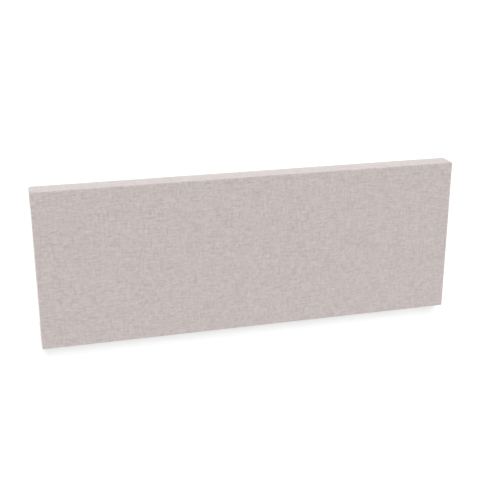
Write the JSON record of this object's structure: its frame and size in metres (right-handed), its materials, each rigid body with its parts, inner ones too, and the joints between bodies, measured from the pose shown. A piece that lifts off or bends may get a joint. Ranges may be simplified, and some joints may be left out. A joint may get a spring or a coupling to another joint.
{
  "type": "fabric acoustic wall panel",
  "caption": "Rectangular sound-absorbing wall panel: a timber edge frame filled with a wool slab and wrapped in pale woven cloth.",
  "frame": {"origin": "centre of the panel's outline, on the level of the hem on its back, which it lies on", "axes": "+X along the long side, +Y towards the upper long edge, +Z out of the cloth-covered front face"},
  "size_m": [1.2, 0.45, 0.06],
  "materials": {
    "cloth": "matte",
    "timber": "matte",
    "wool": "matte",
    "liner": "matte",
    "staple_wire": "satin"
  },
  "bodies": {
    "root": {"fabric_cover": "cloth", "top_rail": "timber", "bottom_rail": "timber", "left_rail": "timber", "right_rail": "timber", "wool_slab": "wool", "back_liner": "liner"}
  },
  "joints": []
}
